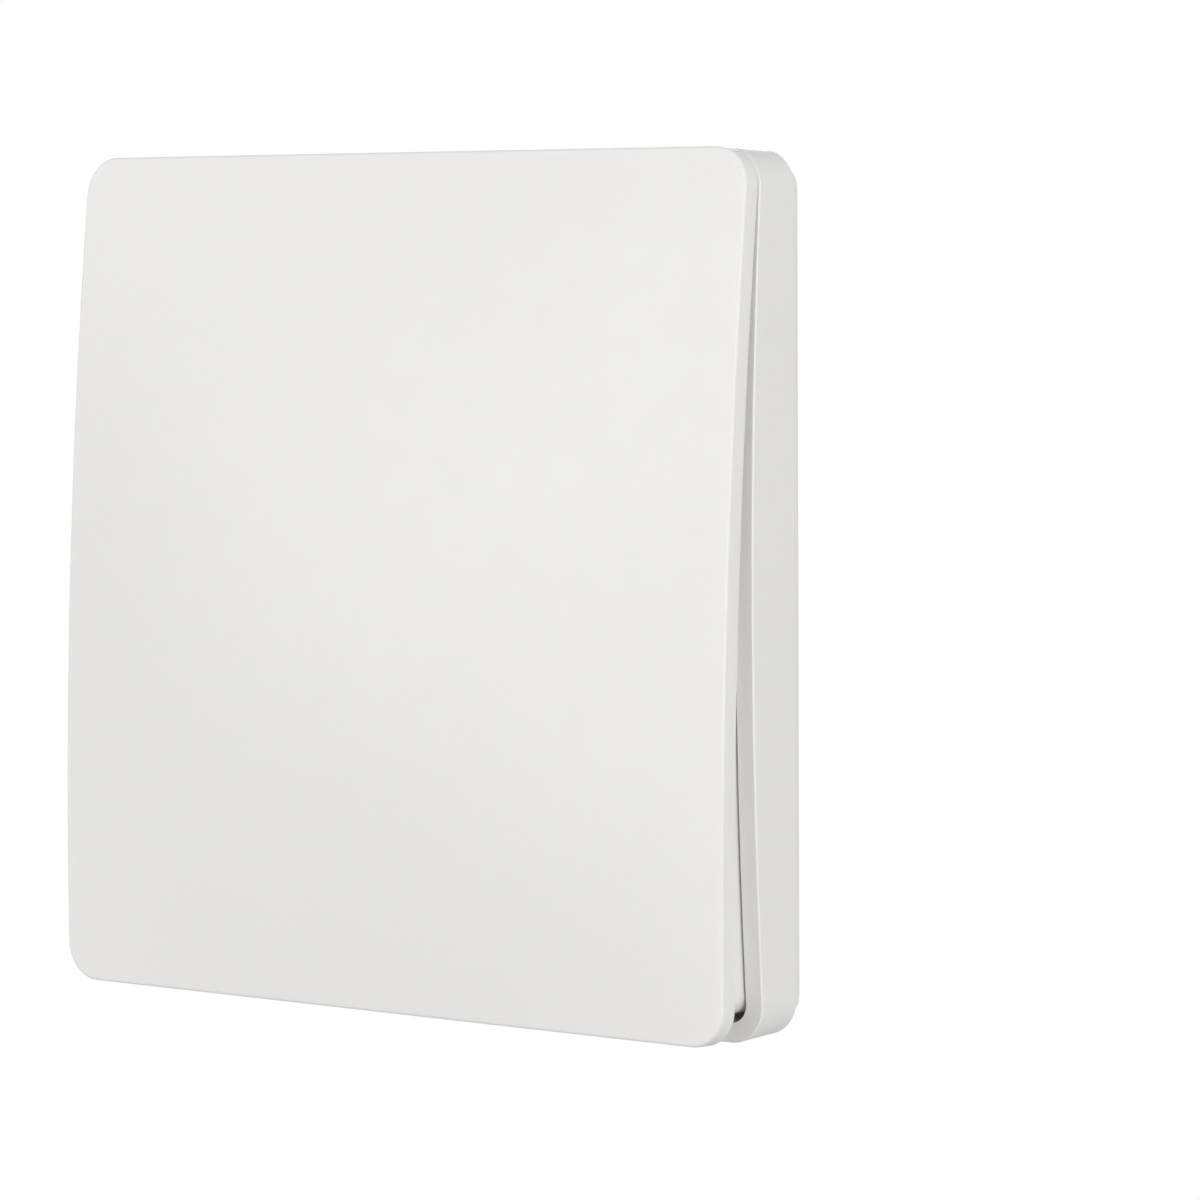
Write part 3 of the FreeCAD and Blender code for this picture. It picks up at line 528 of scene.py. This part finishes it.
class WALLSWITCH_OT_switches(bpy.types.Operator):
    """Finish the two tactile switches with their soft domes, the cell's holder and its contacts"""

    bl_idname = "wallswitch.switches"
    bl_label = "Finish the switches and the cell"

    def execute(self, context):
        finishes = context.scene.switch_finishes
        both = [f"{side}_switch" for side in ("left", "right")]
        black = moulded_plastic("black_plastic", finishes.dark_colour, finishes, grain=2.0)
        finish_nodes(black, "cell_holder", *[f"{name}_base" for name in both])
        plunger = moulded_plastic(
            "plunger_plastic", finishes.plunger_colour, finishes, roughness=0.4)
        finish_nodes(plunger, *[f"{name}_plunger" for name in both])
        silicone = soft_silicone("soft_silicone", finishes.silicone_colour)
        for side in ("left", "right"):
            build_return_dome(side, context.scene.switch_sizes, silicone)
        steel = sheet_metal(
            "switch_steel", finishes.steel_colour, roughness=0.32, brush=(1, 1, 12))
        finish_nodes(steel, *[f"{name}_cover" for name in both])
        cell = sheet_metal("cell_steel", finishes.cell_colour, roughness=0.24, brush=(1, 1, 8))
        finish_nodes(cell, "coin_cell")
        nickel = sheet_metal(
            "contact_nickel", finishes.contact_colour, roughness=0.3, brush=(1, 8, 1))
        finish_nodes(nickel, "cell_positive_clip", "cell_negative_spring")
        return {"FINISHED"}


class WALLSWITCH_OT_electronics(bpy.types.Operator):
    """Finish the boards, the radio, the small parts and the screws"""

    bl_idname = "wallswitch.electronics"
    bl_label = "Finish the electronics"

    def execute(self, context):
        finishes, sizes = context.scene.switch_finishes, context.scene.switch_sizes
        finish_nodes(lacquered_laminate("board_laminate", finishes.mask_colour), "circuit_board")
        finish_nodes(
            lacquered_laminate("radio_laminate", finishes.radio_mask_colour), "radio_board")
        tin = sheet_metal("terminal_tin", finishes.terminal_colour, roughness=0.35)
        finish_nodes(tin, "switch_terminals")
        steel = sheet_metal(
            "shield_steel", finishes.shield_colour, roughness=0.36, brush=(1, 1, 10))
        finish_nodes(steel, "radio_shield", "crystal")
        zinc = sheet_metal("screw_steel", finishes.screw_colour, roughness=0.3)
        build_screws("cover_screw_set", "rear_cover_screws", zinc, sizes, sizes.cover_head,
                     sizes.cover_head_height, sizes.cover_shank)
        build_screws("board_screw_set", "board_screws", zinc, sizes, sizes.board_head,
                     sizes.board_head_height, sizes.board_shank)
        tan = fired_ceramic("capacitor_ceramic", finishes.capacitor_colour, roughness=0.5)
        finish_nodes(tan, "capacitors")
        black = fired_ceramic("resistor_ceramic", finishes.resistor_colour, roughness=0.4)
        finish_nodes(black, "resistors")
        finish_nodes(clear_resin("led_resin", finishes.resin_colour), "status_led")
        return {"FINISHED"}


def camera_axes(studio):
    """The camera's own right, up and forward directions, from its yaw, pitch and roll."""
    yaw, pitch, roll = studio.camera_yaw, studio.camera_pitch, studio.camera_roll
    forward = Vector((-math.sin(yaw) * math.cos(pitch), math.cos(yaw) * math.cos(pitch),
                      -math.sin(pitch)))
    level = Vector((math.cos(yaw), math.sin(yaw), 0))
    upright = level.cross(forward)
    right = math.cos(roll) * level + math.sin(roll) * upright
    up = math.cos(roll) * upright - math.sin(roll) * level
    return right, up, forward


def build_camera(context, studio):
    """A camera that frames the switch as the photograph does."""
    lens = bpy.data.cameras.new("studio_camera")
    lens.sensor_width = 36
    lens.lens = lens.sensor_width * studio.focal_pixels / studio.picture_pixels
    lens.clip_start = 0.01
    lens.clip_end = 50
    camera = bpy.data.objects.new("studio_camera", lens)
    context.scene.collection.objects.link(camera)
    right, up, forward = camera_axes(studio)
    turned = Matrix((right, up, -forward)).transposed().to_4x4()
    camera.matrix_world = Matrix.Translation(studio.camera_place) @ turned
    context.scene.camera = camera


def build_soft_box(context, studio, name, side, level):
    """One large square panel of light.

    A small panel of power P at a distance d lights a white surface that faces it to P / (pi d)^2,
    so that the power for a wanted level is the level times (pi d)^2.
    """
    panel = bpy.data.lights.new(name, "AREA")
    panel.shape = "SQUARE"
    panel.size = studio.light_size
    panel.energy = level * (math.pi * studio.light_distance) ** 2
    light = bpy.data.objects.new(name, panel)
    context.scene.collection.objects.link(light)
    height = studio.light_elevation
    towards = Vector((math.sin(side) * math.cos(height), -math.cos(side) * math.cos(height),
                      math.sin(height)))
    light.matrix_world = (Matrix.Translation(towards * studio.light_distance)
                          @ towards.to_track_quat("Z", "Y").to_matrix().to_4x4())


def seen_directly(tree):
    """1 for what is seen by itself, in a mirror or through glass, and 0 for light on a surface."""
    path = shader_node(tree, "ShaderNodeLightPath")
    total = path.outputs["Is Camera Ray"]
    for name in ("Is Glossy Ray", "Is Transmission Ray"):
        total = arithmetic(tree, "MAXIMUM", total, path.outputs[name])
    return total


def build_sky(context, studio):
    """White surroundings that light the switch softly and are plain white where they are seen.

    As light they are brightest in front of the switch and dimmest behind it, and towards straight
    above and below they fall to a share of that.
    """
    world = bpy.data.worlds.new("studio_sky")
    world.use_nodes = True
    tree = world.node_tree
    background = tree.nodes["Background"]
    towards = shader_node(tree, "ShaderNodeTexCoord").outputs["Generated"]
    parts = shader_node(tree, "ShaderNodeSeparateXYZ", Vector=towards)
    around = shader_node(tree, "ShaderNodeMapRange", Value=parts.outputs["Y"], From_Min=-1.0,
                         From_Max=1.0, To_Min=studio.front_level, To_Max=studio.back_level)
    height = arithmetic(tree, "ABSOLUTE", parts.outputs["Z"])
    share = shader_node(tree, "ShaderNodeMapRange", Value=height, To_Min=1.0,
                        To_Max=studio.overhead_share)
    soft = arithmetic(tree, "MULTIPLY", around.outputs["Result"], share.outputs["Result"])
    level = shader_node(tree, "ShaderNodeMapRange", Value=seen_directly(tree), To_Min=soft,
                        To_Max=1.0)
    set_inputs(tree, background, Color=(1, 1, 1, 1), Strength=level.outputs["Result"])
    context.scene.world = world


def build_floor(context, studio, sectors=64):
    """A plain round table below the switch, which looks white and keeps a faint shadow."""
    level = cad_box[0].z - studio.floor_drop
    turns = [step * math.tau / sectors for step in range(sectors)]
    corners = [(studio.floor_radius * math.cos(turn), studio.floor_radius * math.sin(turn), level)
               for turn in turns]
    mesh = bpy.data.meshes.new("studio_floor")
    mesh.from_pydata(corners, [], [tuple(range(sectors))])
    floor = bpy.data.objects.new("studio_floor", mesh)
    context.scene.collection.objects.link(floor)
    material, tree, surface, place = new_material("studio_floor")
    speckle_size, glow_strength, glow_share = 0.02, 1.06, 0.9
    speckle = noise(tree, place, speckle_size)
    tone = studio.floor_colour
    set_inputs(tree, surface, Roughness=0.9,
               Base_Color=blend_colours(tree, speckle, shaded(tone, 0.97), tone))
    glow = shader_node(tree, "ShaderNodeEmission", Color=(1, 1, 1, 1), Strength=glow_strength)
    share = shader_node(tree, "ShaderNodeMapRange", Value=seen_directly(tree), To_Min=0.0,
                        To_Max=glow_share)
    mixed = shader_node(tree, "ShaderNodeMixShader", Fac=share.outputs["Result"])
    tree.links.new(surface.outputs["BSDF"], mixed.inputs[1])
    tree.links.new(glow.outputs["Emission"], mixed.inputs[2])
    set_inputs(tree, tree.nodes["Material Output"], Surface=mixed.outputs["Shader"])
    mesh.materials.append(material)


class WALLSWITCH_OT_studio(bpy.types.Operator):
    """Build the camera, the lights, the white surroundings and the table"""

    bl_idname = "wallswitch.studio"
    bl_label = "Build the studio"

    def execute(self, context):
        studio = context.scene.switch_studio
        context.scene.view_settings.view_transform = "Standard"
        build_camera(context, studio)
        build_soft_box(context, studio, "key_light", studio.key_azimuth, studio.key_level)
        build_soft_box(context, studio, "side_light", studio.side_azimuth, studio.side_level)
        build_soft_box(context, studio, "rear_light", studio.rear_azimuth, studio.rear_level)
        build_sky(context, studio)
        build_floor(context, studio)
        return {"FINISHED"}


class WALLSWITCH_PT_sidebar(bpy.types.Panel):
    """Lists the steps and the values that a user would change"""

    bl_idname = "WALLSWITCH_PT_sidebar"
    bl_label = "Wall switch"
    bl_space_type = "VIEW_3D"
    bl_region_type = "UI"
    bl_category = "Wall switch"

    def draw(self, context):
        layout = self.layout
        for step in steps:
            layout.operator(step.bl_idname)
        scene = context.scene
        for group in (scene.switch_finishes, scene.switch_sizes, scene.switch_studio):
            box = layout.box()
            for name in group.__annotations__:
                box.prop(group, name)


steps = (WALLSWITCH_OT_mouldings, WALLSWITCH_OT_switches, WALLSWITCH_OT_electronics,
         WALLSWITCH_OT_studio)
classes = (SwitchFinishes, SwitchSizes, SwitchStudio, *steps, WALLSWITCH_PT_sidebar)


def register():
    for made in classes:
        bpy.utils.register_class(made)
    bpy.types.Scene.switch_finishes = bpy.props.PointerProperty(type=SwitchFinishes)
    bpy.types.Scene.switch_sizes = bpy.props.PointerProperty(type=SwitchSizes)
    bpy.types.Scene.switch_studio = bpy.props.PointerProperty(type=SwitchStudio)


def unregister():
    del bpy.types.Scene.switch_studio
    del bpy.types.Scene.switch_sizes
    del bpy.types.Scene.switch_finishes
    for made in reversed(classes):
        bpy.utils.unregister_class(made)


def write_sizes():
    """Brings the view layer up to date once every piece is finished."""
    bpy.context.view_layer.update()


def main():
    register()
    bpy.ops.wallswitch.mouldings()
    bpy.ops.wallswitch.switches()
    bpy.ops.wallswitch.electronics()
    bpy.ops.wallswitch.studio()
    write_sizes()


if __name__ == "__main__":
    main()
